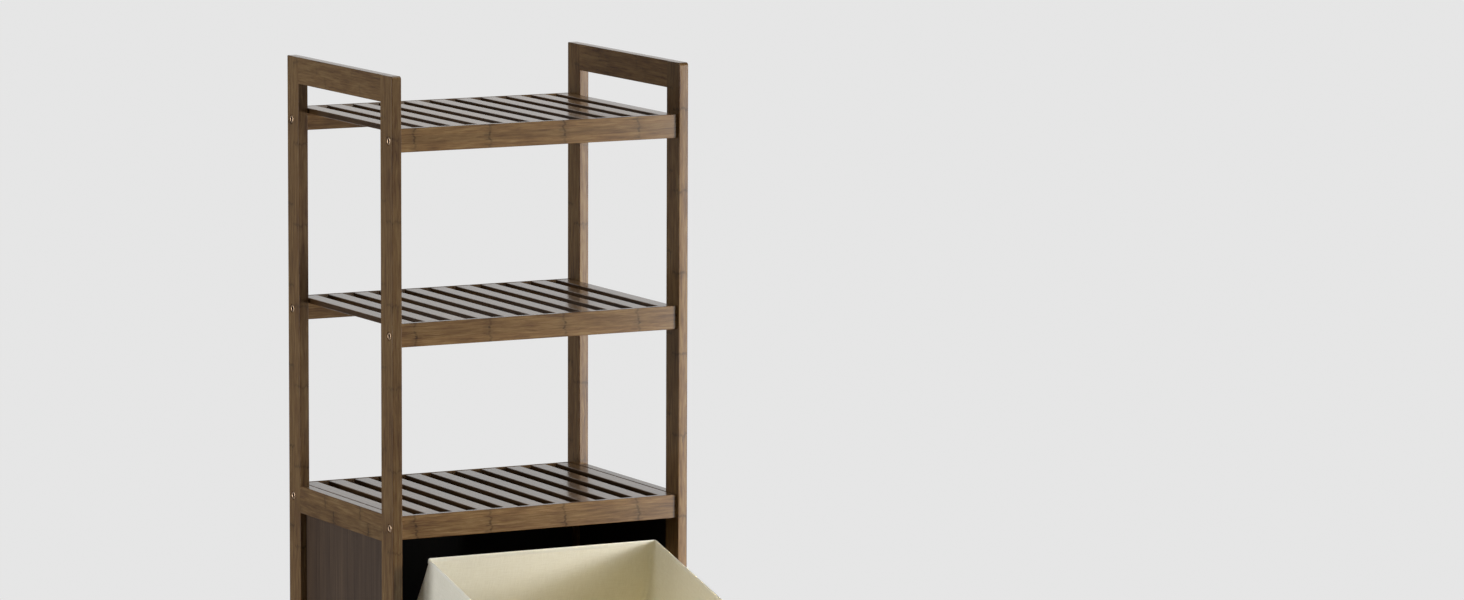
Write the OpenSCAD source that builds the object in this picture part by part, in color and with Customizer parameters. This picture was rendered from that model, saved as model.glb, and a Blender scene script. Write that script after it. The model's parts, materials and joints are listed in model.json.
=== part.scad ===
// Rolling laundry tower: three slatted shelves over a cabinet with a tilt-out fabric hamper.
// Millimetres. +Z up, front towards -Y, origin on the floor under the middle of the cabinet.

/* [Overall] */
// Width over the side frames
overall_w = 400; // [360:5:480]
// Depth over the posts
overall_d = 304; // [290:2:360]
// Height from the floor to the top of the handle rails
overall_h = 1250; // [1230:5:1400]

/* [Frame] */
// Thickness of posts and side rails, across the width
post_t = 12.5; // [11:0.5:16]
// Width of a post, front to back
post_w = 33.5; // [30:0.5:36]
// Thickness of the front and rear rails
rail_t = 12; // [12:0.5:14]
// Height of a front or rear shelf rail
rail_h = 29; // [28:1:34]
// Height of the side rails and handle rails
side_rail_h = 34; // [32:1:38]
// Setback of the front and rear rails from the post faces
rail_setback = 5; // [3:0.5:6]
// Radius of the rounded top corner of a side frame
corner_r = 4; // [2:0.5:8]
// Radius of the rear posts' top outer corners
rear_corner_r = 1.5; // [0.5:0.5:8]

/* [Shelves] */
// Height of the cabinet top above the floor
cabinet_top_z = 716; // [700:2:730]
// Rise from the cabinet top to the middle shelf
middle_rise = 234.5; // [200:0.5:240]
// Rise from the cabinet top to the top shelf
top_rise = 470.5; // [430:0.5:471]
// Number of slats in a shelf
slat_count = 11; // [7:1:13]
// Clear gap between two slats
slat_gap = 14.75; // [8:0.25:16]
// Thickness of a slat
slat_t = 7; // [6:0.5:8]

/* [Hamper] */
// Angle at which the hamper stands open
open_angle = 26; // [20:1:28]
// Height of the top edge of the closed door
door_top_z = 672; // [660:1:676]
// Thickness of the door frame
door_t = 15; // [14:0.5:16]
// Width of the fabric bag
bag_w = 314; // [290:2:316]
// Front-to-back depth of the bag, measured from the back of the door
bag_depth = 225.3; // [200:0.1:228]

/* [Casters] */
// Diameter of a caster wheel
wheel_d = 40; // [36:1:40]
// Width of a caster wheel
wheel_w = 17; // [14:0.5:17]

/* [Hidden] */

$fn = 48;
eps = 0.05;             // clearance of one face in a glued or sliding wood joint
cut = 1;                // overshoot of a cutting tool

// Frame
hw = overall_w / 2;
hd = overall_d / 2;
inner_x = hw - post_t;              // inner faces of the posts
inner_y = hd - post_w;              // faces of the posts that look along the side
frame_bottom = 52;                  // underside of posts and bottom rails
rail_out_y = hd - rail_setback;     // outer face of the front and rear rails
rail_in_y = rail_out_y - rail_t;    // inner face of the front and rear rails
bottom_rail_h = 30;
handle_h = 33;
handle_z = overall_h - handle_h;
tenon_l = 10;
tenon_t = 6;
tenon_h = 22;
tenon_x = hw - (post_t + tenon_t) / 2;

// Shelves
shelf_tops = [cabinet_top_z, cabinet_top_z + middle_rise, cabinet_top_z + top_rise];
lip_w = 6.5;                        // top of a shelf rail in front of its rebate
slat_end_y = rail_out_y - lip_w;    // ends of the slats
end_gap = 1.2;                      // outermost slat to the post
slat_w = (2 * inner_x - 2 * end_gap - (slat_count - 1) * slat_gap) / slat_count;
slat_pitch = slat_w + slat_gap;

// Panels
panel_t = 4;
groove_d = 5;
side_panel_x = hw - 12;             // inner face of a side panel
back_panel_y = rail_out_y - 8;      // inner face of the back panel
upper_rail_z = cabinet_top_z - side_rail_h;
lower_rail_top = frame_bottom + side_rail_h;
bottom_rail_top = frame_bottom + bottom_rail_h;
board_z = frame_bottom + 24;
board_tongue = 2;

// Bolts
bolt_inset = 11;                    // bolt axis from the post's face
bolt_drop = 15;                     // bolt axis below a rail's top
bolt_d = 6;
bolt_head_d = 11;
bolt_head_h = 2.6;
bolt_l = 45;
bolt_hole_d = 6.5;
socket_d = 4.6;
nut_d = 10;
nut_l = 9;
nut_pocket = nut_l + 0.5;
nut_x = hw - bolt_l + 7;
bolt_y = hd - bolt_inset;
bolt_zs = concat([for (z = shelf_tops) z - bolt_drop], [bottom_rail_top - bolt_drop]);

// Hinge and door
hinge_y = -(rail_out_y - 2 - door_t / 2);
hinge_z = frame_bottom + 46;
pin_d = 6;
pin_in_post = 8;
bush_d = 10;
bush_l = 15;
door_gap = 2;
door_x = inner_x - door_gap;        // side edge of the door
door_front_y = hinge_y - door_t / 2;
door_back_y = hinge_y + door_t / 2;
door_bottom_z = hinge_z - 11;
stile_w = 33.5;
door_rail_h = 42;
door_bottom_rail_h = 45;
door_groove_d = 6;
door_groove_z = door_bottom_z + door_bottom_rail_h - door_groove_d;
door_groove_h = door_top_z - door_rail_h + door_groove_d - door_groove_z;
panel_play = 0.5;                   // play of the door panel in its grooves
door_panel_x = door_x - stile_w + door_groove_d - panel_play;

// Bag and its rim
cloth_t = 2.5;
rim_slope = 11;                     // rise of the side rims towards the closed door
rim_d = 3;
rim_x = bag_w / 2 - 2.5;            // centre of the rim wire's side runs
bag_rear_y = door_back_y + bag_depth;
rim_rear_z = hinge_z + 514.3;
rim_rear_y = bag_rear_y - cloth_t / 2;
socket_l = 10;
socket_s = 16;
bag_base_z = 105;
bag_top_gap = 2;                    // rim wire's centre above the edge of a bag panel
bag_x = bag_w / 2;

// Door stop and check straps
cleat_t = 10;
cleat_z = 385;
cleat_h = 95;
pad_t = 1.5;
strap_t = 1.5;
strap_w = 18;
strap_x = inner_x - cleat_t - strap_t;
strap_post = [-(inner_y + 5), cleat_z + 15];    // y, z of the strap's fixed end
strap_door_z = cleat_z - 13;                    // height of the tab on the closed door
tab_l = 14;

// Casters
wheel_r = wheel_d / 2;
trail = 14;                         // axle behind the swivel axis
caster_x = inner_x - 22;
caster_y = rail_in_y - 22;
block_s = 44;
plate_s = 40;
plate_t = 2;
plate_z = frame_bottom - plate_t;
screw_pos = 15;
race_d = 26;
kingpin_d = 8;
kingpin_head_d = 12;
crown_d = 30;
crown_z = 44.5;
crown_top = 48.7;
axle_d = 6;
axle_head_d = 9;
running = 0.06;                     // radial clearance of a turning fit
leg_gap = 1;
leg_t = 1.8;
leg_top = 9.5;                      // half the leg's width under the crown
leg_drop = 3;                       // how far its front edge hangs below the crown
leg_x = wheel_w / 2 + leg_gap;      // inner face of a fork leg
boss_r = 6.5;
arm_t = 1.5;
arm_x = leg_x + leg_t + 0.4;        // inner face of a brake pedal's arm
pedal_rise = 24;                    // angle of the released pedal above the level
pedal_in = wheel_r + 4.5;
pedal_out = wheel_r + 17;
pedal_t = 3;
arm_root = 4;                       // the arm's start, inside its boss
arm_half = 4.5;                     // half the arm's height there
arm_top = 1;
arm_short = 1;                      // pad's overhang past the arm
pad_x = arm_x + arm_t + 0.3;        // half the width of the pedal's pad
bore_r = axle_d / 2 + running;
hub_r = 7;
dish = 1.5;                         // depth of the recess in a wheel's side
web_r = wheel_r - 5;
tread_r = 3;

walnut = "#6f5538";
dark_board = "#3f3630";
cream = "#d9d4bf";
bronze = "#8a5a3a";
steel = "#b9bcc0";
grey_tyre = "#4a4a4c";

// ---------- helpers ----------

module left_side() mirror([1, 0, 0]) children();
module rear_side() mirror([0, 1, 0]) children();

// A cylinder from the origin towards +X or +Y
module rod_x(l, d) rotate([0, 90, 0]) cylinder(h = l, d = d);
module rod_y(l, d) rotate([-90, 0, 0]) cylinder(h = l, d = d);

// A round bar between two points
module bar(p, q, d) {
    v = q - p;
    translate(p) rotate([0, acos(v[2] / norm(v)), atan2(v[1], v[0])]) cylinder(h = norm(v), d = d);
}

// A flat shape given in y and z, standing from x0 to x0 + t
module side_plate(x0, t) translate([x0, 0, 0]) rotate([90, 0, 90]) linear_extrude(t) children();

// The hamper is drawn closed and stands open
module opened() {
    translate([0, hinge_y, hinge_z]) rotate([open_angle, 0, 0])
        translate([0, -hinge_y, -hinge_z]) children();
}

function open_point(y, z) = [
    hinge_y + (y - hinge_y) * cos(open_angle) - (z - hinge_z) * sin(open_angle),
    hinge_z + (y - hinge_y) * sin(open_angle) + (z - hinge_z) * cos(open_angle)
];

function arc_points(cx, cy, r, a0, a1, n = 8) =
    [for (i = [0:n]) let (a = a0 + (a1 - a0) * i / n) [cx + r * cos(a), cy + r * sin(a)]];

// ---------- side frames ----------

// Board of the front right post, with its top front corner rounded
module post_board(r) {
    side_plate(inner_x, post_t) polygon(concat(
        [[-inner_y, frame_bottom], [-inner_y, overall_h]],
        arc_points(-hd + r, overall_h - r, r, 90, 180),
        [[-hd, frame_bottom]]
    ));
}

module mortise(z, h) {
    translate([tenon_x - eps, -inner_y - tenon_l - eps, z + (h - tenon_h) / 2 - eps])
        cube([tenon_t + 2 * eps, tenon_l + cut, tenon_h + 2 * eps]);
}

module bolt_hole(z) {
    translate([inner_x - cut, -bolt_y, z]) rod_x(post_t + 2 * cut, bolt_hole_d);
    translate([hw - bolt_head_h, -bolt_y, z]) rotate([0, 90, 0])
        cylinder(h = bolt_head_h + 0.01, d1 = bolt_hole_d, d2 = bolt_head_d + 0.2);
}

// A post at the front right; the rear posts carry the back panel instead of the hinge
module post(front) {
    color(walnut) difference() {
        post_board(front ? corner_r : rear_corner_r);
        mortise(handle_z, handle_h);
        mortise(upper_rail_z, side_rail_h);
        mortise(frame_bottom, side_rail_h);
        for (z = bolt_zs) bolt_hole(z);
        translate([side_panel_x - eps, -inner_y - groove_d - eps, lower_rail_top])
            cube([panel_t + 2 * eps, groove_d + cut, upper_rail_z - lower_rail_top]);
        if (front)
            translate([inner_x - cut, hinge_y, hinge_z]) rod_x(pin_in_post + cut + 0.3, pin_d + 2 * eps);
        else
            translate([inner_x - cut, -back_panel_y - panel_t - eps, bottom_rail_top])
                cube([groove_d + cut, panel_t + 2 * eps, cabinet_top_z - rail_h - bottom_rail_top]);
    }
}

module front_right_post() post(true);
module front_left_post() left_side() post(true);
module rear_right_post() rear_side() post(false);
module rear_left_post() left_side() rear_side() post(false);

// A rail between the two posts of a side frame, tenoned at both ends
module side_rail(z, h) {
    translate([inner_x, -inner_y, z]) cube([post_t, 2 * inner_y, h]);
    translate([tenon_x, -inner_y - tenon_l, z + (h - tenon_h) / 2])
        cube([tenon_t, 2 * (inner_y + tenon_l), tenon_h]);
}

module right_handle_rail() color(walnut) side_rail(handle_z, handle_h);
module left_handle_rail() left_side() right_handle_rail();

module right_upper_side_rail() color(walnut) difference() {
    side_rail(upper_rail_z, side_rail_h);
    translate([side_panel_x - eps, -inner_y, upper_rail_z - cut])
        cube([panel_t + 2 * eps, 2 * inner_y, groove_d + cut + eps]);
}
module left_upper_side_rail() left_side() right_upper_side_rail();

module right_lower_side_rail() color(walnut) difference() {
    side_rail(frame_bottom, side_rail_h);
    translate([side_panel_x - eps, -inner_y, lower_rail_top - groove_d - eps])
        cube([panel_t + 2 * eps, 2 * inner_y, groove_d + cut + eps]);
}
module left_lower_side_rail() left_side() right_lower_side_rail();

// Plain board with tongues that fill the grooves of posts and rails
module right_side_panel() color(dark_board) {
    translate([side_panel_x, -inner_y, lower_rail_top - groove_d])
        cube([panel_t, 2 * inner_y, upper_rail_z - lower_rail_top + 2 * groove_d]);
    translate([side_panel_x, -inner_y - groove_d, lower_rail_top + eps])
        cube([panel_t, 2 * (inner_y + groove_d), upper_rail_z - lower_rail_top - 2 * eps]);
}
module left_side_panel() left_side() right_side_panel();

module back_panel() color(dark_board) {
    rail_z = cabinet_top_z - rail_h;
    translate([-inner_x + eps, back_panel_y, bottom_rail_top - groove_d])
        cube([2 * (inner_x - eps), panel_t, rail_z - bottom_rail_top + 2 * groove_d]);
    translate([-inner_x - groove_d + eps, back_panel_y, bottom_rail_top + eps])
        cube([2 * (inner_x + groove_d - eps), panel_t, rail_z - bottom_rail_top - 2 * eps]);
}

// ---------- shelves ----------

// Holes for the bolt and its barrel nut in the right end of a rail, drawn at the front. The nut's
// pocket opens to the rear: into the shelf on a front rail, and outwards on a rear rail.
module end_bore(z, rear) {
    translate([nut_x - nut_d, -bolt_y, z]) rod_x(inner_x - nut_x + nut_d + cut, bolt_hole_d);
    translate([nut_x, rear ? -rail_out_y - cut : -rail_in_y - nut_pocket, z])
        rod_y(nut_pocket + cut, nut_d + 0.1);
}

module end_bores(z, rear) {
    end_bore(z, rear);
    left_side() end_bore(z, rear);
}

// Rail of a shelf, drawn at the front: its inner top edge is rebated for the slats
module shelf_rail(top, rear = false, grooved = false) {
    color(walnut) difference() {
        translate([-inner_x, -rail_out_y, top - rail_h]) cube([2 * inner_x, rail_t, rail_h]);
        translate([-inner_x - cut, -slat_end_y, top - slat_t])
            cube([2 * (inner_x + cut), rail_t, slat_t + cut]);
        end_bores(top - bolt_drop, rear);
        if (grooved) translate([-inner_x - cut, -back_panel_y - panel_t - eps, top - rail_h - cut])
            cube([2 * (inner_x + cut), panel_t + 2 * eps, groove_d + cut + eps]);
    }
}

module slats(top) {
    color(walnut) for (i = [0:slat_count - 1])
        translate([-inner_x + end_gap + i * slat_pitch, -slat_end_y + 0.2, top - slat_t])
            cube([slat_w, 2 * (slat_end_y - 0.2), slat_t]);
}

module cabinet_top_front_rail() shelf_rail(shelf_tops[0]);
module cabinet_top_rear_rail() rear_side() shelf_rail(shelf_tops[0], true, true);
module cabinet_top_slats() slats(shelf_tops[0]);
module middle_shelf_front_rail() shelf_rail(shelf_tops[1]);
module middle_shelf_rear_rail() rear_side() shelf_rail(shelf_tops[1], true);
module middle_shelf_slats() slats(shelf_tops[1]);
module top_shelf_front_rail() shelf_rail(shelf_tops[2]);
module top_shelf_rear_rail() rear_side() shelf_rail(shelf_tops[2], true);
module top_shelf_slats() slats(shelf_tops[2]);

// ---------- cabinet floor ----------

// Bottom rail, grooved inside for the bottom board; the rear one is grooved for the back panel too
module bottom_rail(rear) {
    color(walnut) difference() {
        translate([-inner_x, -rail_out_y, frame_bottom]) cube([2 * inner_x, rail_t, bottom_rail_h]);
        translate([-inner_x - cut, -rail_in_y - board_tongue - eps, board_z - eps])
            cube([2 * (inner_x + cut), board_tongue + cut, panel_t + 2 * eps]);
        end_bores(bottom_rail_top - bolt_drop, rear);
        if (rear)
            translate([-inner_x - cut, -back_panel_y - panel_t - eps, bottom_rail_top - groove_d - eps])
                cube([2 * (inner_x + cut), panel_t + 2 * eps, groove_d + cut]);
    }
}

module bottom_front_rail() bottom_rail(false);
module bottom_rear_rail() rear_side() bottom_rail(true);

module bottom_board() color(dark_board)
    translate([-inner_x + 0.3, -rail_in_y - board_tongue, board_z])
        cube([2 * (inner_x - 0.3), 2 * (rail_in_y + board_tongue), panel_t]);

// What stands at each of the four corners, drawn at the front right
module at_corners() {
    for (mx = [0, 1], my = [0, 1]) mirror([mx, 0, 0]) mirror([0, my, 0]) children();
}

module caster_blocks() color(walnut) at_corners() difference() {
    translate([inner_x - block_s, -rail_in_y, frame_bottom])
        cube([block_s, block_s, board_z - frame_bottom]);
    for (x = [-screw_pos, screw_pos], y = [-screw_pos, screw_pos])
        translate([caster_x + x, -caster_y + y, frame_bottom - cut]) cylinder(h = 15 + cut, d = 3.6);
}

// ---------- fasteners ----------

module frame_bolt(z) {
    difference() {
        translate([0, -bolt_y, z]) union() {
            translate([hw - bolt_l, 0, 0]) rod_x(bolt_l - 0.3, bolt_d);
            translate([hw - bolt_head_h, 0, 0]) rotate([0, 90, 0])
                cylinder(h = bolt_head_h - 0.1, d1 = bolt_d, d2 = bolt_head_d);
        }
        translate([hw - bolt_head_h, -bolt_y, z]) rotate([0, 90, 0])
            cylinder(h = bolt_head_h + cut, d = socket_d, $fn = 6);
    }
}

module frame_bolts() color(bronze) at_corners() for (z = bolt_zs) frame_bolt(z);

module barrel_nut(z, y) difference() {
    translate([nut_x, y, z]) rod_y(nut_l, nut_d);
    translate([nut_x - nut_d, y > 0 ? bolt_y : -bolt_y, z]) rod_x(2 * nut_d, bolt_d + 0.12);
}

module barrel_nuts() color(steel)
    for (mx = [0, 1], z = bolt_zs, y = [-rail_in_y - nut_l, rail_out_y - nut_l])
        mirror([mx, 0, 0]) barrel_nut(z, y);

// ---------- hinge, stops and straps ----------

module hinge_pin() translate([door_x - bush_l + 0.5, hinge_y, hinge_z])
    rod_x(inner_x + pin_in_post - (door_x - bush_l + 0.5), pin_d);

module hinge_pins() color(steel) {
    hinge_pin();
    left_side() hinge_pin();
}

// Bush with a thin collar that keeps the door off the post
module hinge_bush() difference() {
    translate([0, hinge_y, hinge_z]) union() {
        translate([door_x - bush_l, 0, 0]) rod_x(bush_l, bush_d);
        translate([door_x, 0, 0]) rod_x(door_gap / 2, bush_d + 5);
    }
    translate([door_x - bush_l - cut, hinge_y, hinge_z])
        rod_x(bush_l + door_gap + 2 * cut, pin_d + 2 * running);
}

module hinge_bushes() color(cream) {
    hinge_bush();
    left_side() hinge_bush();
}

module stop_cleat() translate([inner_x - cleat_t, door_back_y + 0.5 + pad_t, cleat_z])
    cube([cleat_t, -inner_y - door_back_y - 0.5 - pad_t, cleat_h]);

module stop_cleats() color(walnut) {
    stop_cleat();
    left_side() stop_cleat();
}

module bumper_pad() translate([inner_x - cleat_t / 2, door_back_y + 0.5 + pad_t, cleat_z + cleat_h - 12])
    rotate([90, 0, 0]) cylinder(h = pad_t, d = 8);

module bumper_pads() color(grey_tyre) {
    bumper_pad();
    left_side() bumper_pad();
}

// Webbing that stops the open door, with a tab on the back of the stile
module right_check_strap() color(dark_board) {
    far = open_point(door_back_y + strap_t / 2, strap_door_z);
    run = far - strap_post;
    side = [-run[1], run[0]] / norm(run) * strap_w / 2;
    side_plate(strap_x, strap_t) polygon([strap_post + side, strap_post - side, far - side, far + side]);
    opened() translate([strap_x + strap_t - tab_l, door_back_y, strap_door_z - strap_w / 2])
        cube([tab_l, strap_t, strap_w]);
}
module left_check_strap() left_side() right_check_strap();

// ---------- door ----------

module right_door_stile() color(walnut) opened() difference() {
    translate([door_x - stile_w, door_front_y, door_bottom_z])
        cube([stile_w, door_t, door_top_z - door_bottom_z]);
    translate([door_x - stile_w - cut, hinge_y - panel_t / 2 - eps, door_groove_z])
        cube([door_groove_d + cut, panel_t + 2 * eps, door_groove_h]);
    translate([door_x - bush_l - 0.2, hinge_y, hinge_z]) rod_x(bush_l + cut, bush_d + 0.04);
}
module left_door_stile() left_side() right_door_stile();

// A rail between the stiles; groove_z is where its panel groove starts
module door_rail(z, h, groove_z) {
    color(walnut) opened() difference() {
        translate([-door_x + stile_w, door_front_y, z]) cube([2 * (door_x - stile_w), door_t, h]);
        translate([-door_x + stile_w - cut, hinge_y - panel_t / 2 - eps, groove_z])
            cube([2 * (door_x - stile_w + cut), panel_t + 2 * eps, door_groove_d + cut]);
    }
}

module door_top_rail() door_rail(door_top_z - door_rail_h, door_rail_h, door_top_z - door_rail_h - cut);
module door_bottom_rail() door_rail(door_bottom_z, door_bottom_rail_h, door_groove_z);

module door_panel() color(dark_board) opened()
    translate([-door_panel_x, hinge_y - panel_t / 2, door_groove_z + panel_play])
        cube([2 * door_panel_x, panel_t, door_groove_h - 2 * panel_play]);

// Turned knob: a waisted neck and a domed head
module door_knob() color(walnut) opened()
    translate([0, door_front_y, door_top_z - door_rail_h / 2]) rotate([90, 0, 0])
        rotate_extrude() polygon(concat(
            [[0, 0], [8, 0], [8, 2], [6, 5], [6, 9], [12, 13], [13, 16]],
            arc_points(0, 16, 13, 0, 90, 10) * [[1, 0], [0, 0.45]] + [for (i = [0:10]) [0, 16 * 0.55]]
        ));

// ---------- bag ----------

// Height of the rim wire's centre at a distance y in the closed position
function rim_z(y) = rim_rear_z + (bag_rear_y - y) * tan(rim_slope);
function rim_point(y) = [rim_x, y, rim_z(y)];

module rim_side() bar(rim_point(door_back_y + 2), rim_point(rim_rear_y), rim_d);

module rim_wire() color(steel) opened() {
    rim_side();
    left_side() rim_side();
    translate([-rim_x, rim_rear_y, rim_z(rim_rear_y)]) rod_x(2 * rim_x, rim_d);
    for (x = [-rim_x, rim_x]) translate([x, rim_rear_y, rim_z(rim_rear_y)]) sphere(d = rim_d);
}

module rim_socket() difference() {
    translate([rim_x - socket_s / 2, door_back_y, rim_z(door_back_y + socket_l / 2) - socket_s / 2])
        cube([socket_s, socket_l, socket_s]);
    bar(rim_point(door_back_y + 1.9), rim_point(door_back_y + 2 * socket_l), rim_d + 0.2);
}

module rim_sockets() color(steel) opened() {
    rim_socket();
    left_side() rim_socket();
}

bag_front_y = door_back_y + 0.3;
bag_front_top = rim_z(door_back_y + socket_l / 2) - socket_s / 2 - 1;
bag_side_front_y = door_back_y + socket_l + 1;

module bag_back_panel() color(cream) opened()
    translate([-bag_x, bag_rear_y - cloth_t, bag_base_z])
        cube([bag_w, cloth_t, rim_rear_z - bag_top_gap - bag_base_z]);

module bag_front_panel() color(cream) opened()
    translate([-bag_x, bag_front_y, bag_base_z]) cube([bag_w, cloth_t, bag_front_top - bag_base_z]);

module bag_right_panel() color(cream) opened()
    side_plate(bag_x - cloth_t, cloth_t) polygon([
        [bag_front_y + cloth_t, bag_base_z],
        [bag_rear_y - cloth_t, bag_base_z],
        [bag_rear_y - cloth_t, rim_z(bag_rear_y - cloth_t) - bag_top_gap],
        [bag_side_front_y, rim_z(bag_side_front_y) - bag_top_gap],
        [bag_side_front_y, bag_front_top],
        [bag_front_y + cloth_t, bag_front_top]
    ]);
module bag_left_panel() left_side() bag_right_panel();

module bag_base_panel() color(cream) opened()
    translate([-bag_x, bag_front_y, bag_base_z - cloth_t]) cube([bag_w, bag_rear_y - bag_front_y, cloth_t]);

// ---------- casters ----------

// Top plate with the race and the kingpin that carries the fork
module caster_plate() translate([caster_x, -caster_y, 0]) difference() {
    union() {
        translate([-plate_s / 2, -plate_s / 2, plate_z]) cube([plate_s, plate_s, plate_t]);
        translate([0, 0, crown_top + 0.3]) cylinder(h = plate_z - crown_top - 0.3, d = race_d);
        translate([0, 0, crown_z - 0.3]) cylinder(h = plate_z - crown_z + 0.3, d = kingpin_d);
        translate([0, 0, crown_z - 2]) cylinder(h = 1.7, d = kingpin_head_d);
    }
    for (x = [-screw_pos, screw_pos], y = [-screw_pos, screw_pos])
        translate([x, y, plate_z - cut]) cylinder(h = plate_t + 2 * cut, d = 4.2);
}

module caster_plates() color(steel) at_corners() caster_plate();

module caster_screw() {
    translate([0, 0, plate_z - 1.8]) cylinder(h = 1.8, d = 7);
    translate([0, 0, plate_z - 1]) cylinder(h = plate_t + 15, d = 3.5);
}

module caster_screws() color(steel) at_corners()
    for (x = [-screw_pos, screw_pos], y = [-screw_pos, screw_pos])
        translate([caster_x + x, -caster_y + y, 0]) caster_screw();

// Moves a caster part, drawn round its swivel axis, to one of the four corners
module caster_at(sx, sy) translate([sx * caster_x, sy * caster_y, 0]) children();

module fork_leg() difference() {
    union() {
        side_plate(leg_x, leg_t) polygon([
            [-leg_top, crown_top], [leg_top, crown_top], [trail + boss_r, wheel_r],
            [trail, wheel_r - boss_r + 1], [trail - boss_r, wheel_r - 2], [-leg_top, crown_z - leg_drop]
        ]);
        translate([leg_x, trail, wheel_r]) rod_x(leg_t, 2 * boss_r);
    }
    translate([leg_x - cut, trail, wheel_r]) rod_x(leg_t + 2 * cut, axle_d + 2 * running);
}

module fork() {
    difference() {
        union() {
            translate([0, 0, crown_z]) cylinder(h = crown_top - crown_z, d = crown_d);
            fork_leg();
            left_side() fork_leg();
        }
        translate([0, 0, crown_z - cut])
            cylinder(h = crown_top - crown_z + 2 * cut, d = kingpin_d + 2 * running);
    }
}

// Riveted axle; half is its half length between the heads
module axle(half) translate([0, trail, wheel_r]) {
    translate([-half - 1, 0, 0]) rod_x(2 * half + 2, axle_d);
    for (x = [-half - 1.5, half]) translate([x, 0, 0]) rod_x(1.5, axle_head_d);
}

module fork_with_axle(sx, sy, half) color(steel) caster_at(sx, sy) {
    fork();
    axle(half);
}

braked_half = arm_x + arm_t + 0.3;
plain_half = leg_x + leg_t + 0.2;

module front_left_fork() fork_with_axle(-1, -1, braked_half);
module front_right_fork() fork_with_axle(1, -1, braked_half);
module rear_left_fork() fork_with_axle(-1, 1, plain_half);
module rear_right_fork() fork_with_axle(1, 1, plain_half);

// Wheel turned about its axle: rounded tread, dished sides and a hub
module wheel(sx, sy) {
    half = wheel_w / 2;
    color(grey_tyre) caster_at(sx, sy) translate([0, trail, wheel_r]) rotate([0, 90, 0])
        rotate_extrude($fn = 64) polygon(concat(
            [[bore_r, -half], [hub_r, -half], [hub_r + 1, -half + dish], [web_r, -half + dish]],
            arc_points(wheel_r - tread_r, -half + 0.5 + tread_r, tread_r, -90, 0, 5),
            arc_points(wheel_r - tread_r, half - 0.5 - tread_r, tread_r, 0, 90, 5),
            [[web_r, half - dish], [hub_r + 1, half - dish], [hub_r, half], [bore_r, half]]
        ));
}

module front_left_wheel() wheel(-1, -1);
module front_right_wheel() wheel(1, -1);
module rear_left_wheel() wheel(-1, 1);
module rear_right_wheel() wheel(1, 1);

module pedal_arm() difference() {
    union() {
        translate([arm_x, 0, 0]) rod_x(arm_t, 2 * boss_r);
        rotate([pedal_rise, 0, 0]) side_plate(arm_x, arm_t) polygon([
            [arm_root, -arm_half], [pedal_out - arm_short, -pedal_t], [pedal_out - arm_short, 0],
            [pedal_in - arm_root, arm_top], [arm_root, arm_half]
        ]);
    }
    translate([arm_x - cut, 0, 0]) rod_x(arm_t + 2 * cut, axle_d + 2 * running);
}

// Foot pedal that rocks about the axle behind the wheel
module brake_pedal(sx) color(grey_tyre) caster_at(sx, -1) translate([0, trail, wheel_r]) {
    pedal_arm();
    left_side() pedal_arm();
    rotate([pedal_rise, 0, 0]) translate([-pad_x, pedal_in, -pedal_t / 2])
        cube([2 * pad_x, pedal_out - pedal_in, pedal_t]);
}

module left_brake_pedal() brake_pedal(-1);
module right_brake_pedal() brake_pedal(1);

// ---------- nodes ----------

front_left_post();
front_right_post();
rear_left_post();
rear_right_post();
left_handle_rail();
right_handle_rail();
left_upper_side_rail();
right_upper_side_rail();
left_lower_side_rail();
right_lower_side_rail();
left_side_panel();
right_side_panel();
back_panel();
top_shelf_front_rail();
top_shelf_rear_rail();
top_shelf_slats();
middle_shelf_front_rail();
middle_shelf_rear_rail();
middle_shelf_slats();
cabinet_top_front_rail();
cabinet_top_rear_rail();
cabinet_top_slats();
bottom_front_rail();
bottom_rear_rail();
bottom_board();
caster_blocks();
frame_bolts();
barrel_nuts();
hinge_pins();
stop_cleats();
bumper_pads();
left_check_strap();
right_check_strap();
left_door_stile();
right_door_stile();
door_top_rail();
door_bottom_rail();
door_panel();
door_knob();
hinge_bushes();
rim_wire();
rim_sockets();
bag_back_panel();
bag_front_panel();
bag_left_panel();
bag_right_panel();
bag_base_panel();
caster_plates();
caster_screws();
front_left_fork();
front_right_fork();
rear_left_fork();
rear_right_fork();
front_left_wheel();
front_right_wheel();
rear_left_wheel();
rear_right_wheel();
left_brake_pedal();
right_brake_pedal();
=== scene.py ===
"""Looks of the rolling laundry tower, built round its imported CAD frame.

Metres, +Z up, front towards -Y. Boards get rounded edges and a bamboo grain that follows each
board's own length, the bag is a simulated cloth, and small metal and rubber parts keep their CAD
shape. Hamper pieces are made as if the hamper were closed and are then turned to where it stands.
"""

import json
import math
import random

import bmesh
import bpy
from mathutils import Matrix, Vector, noise


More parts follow.
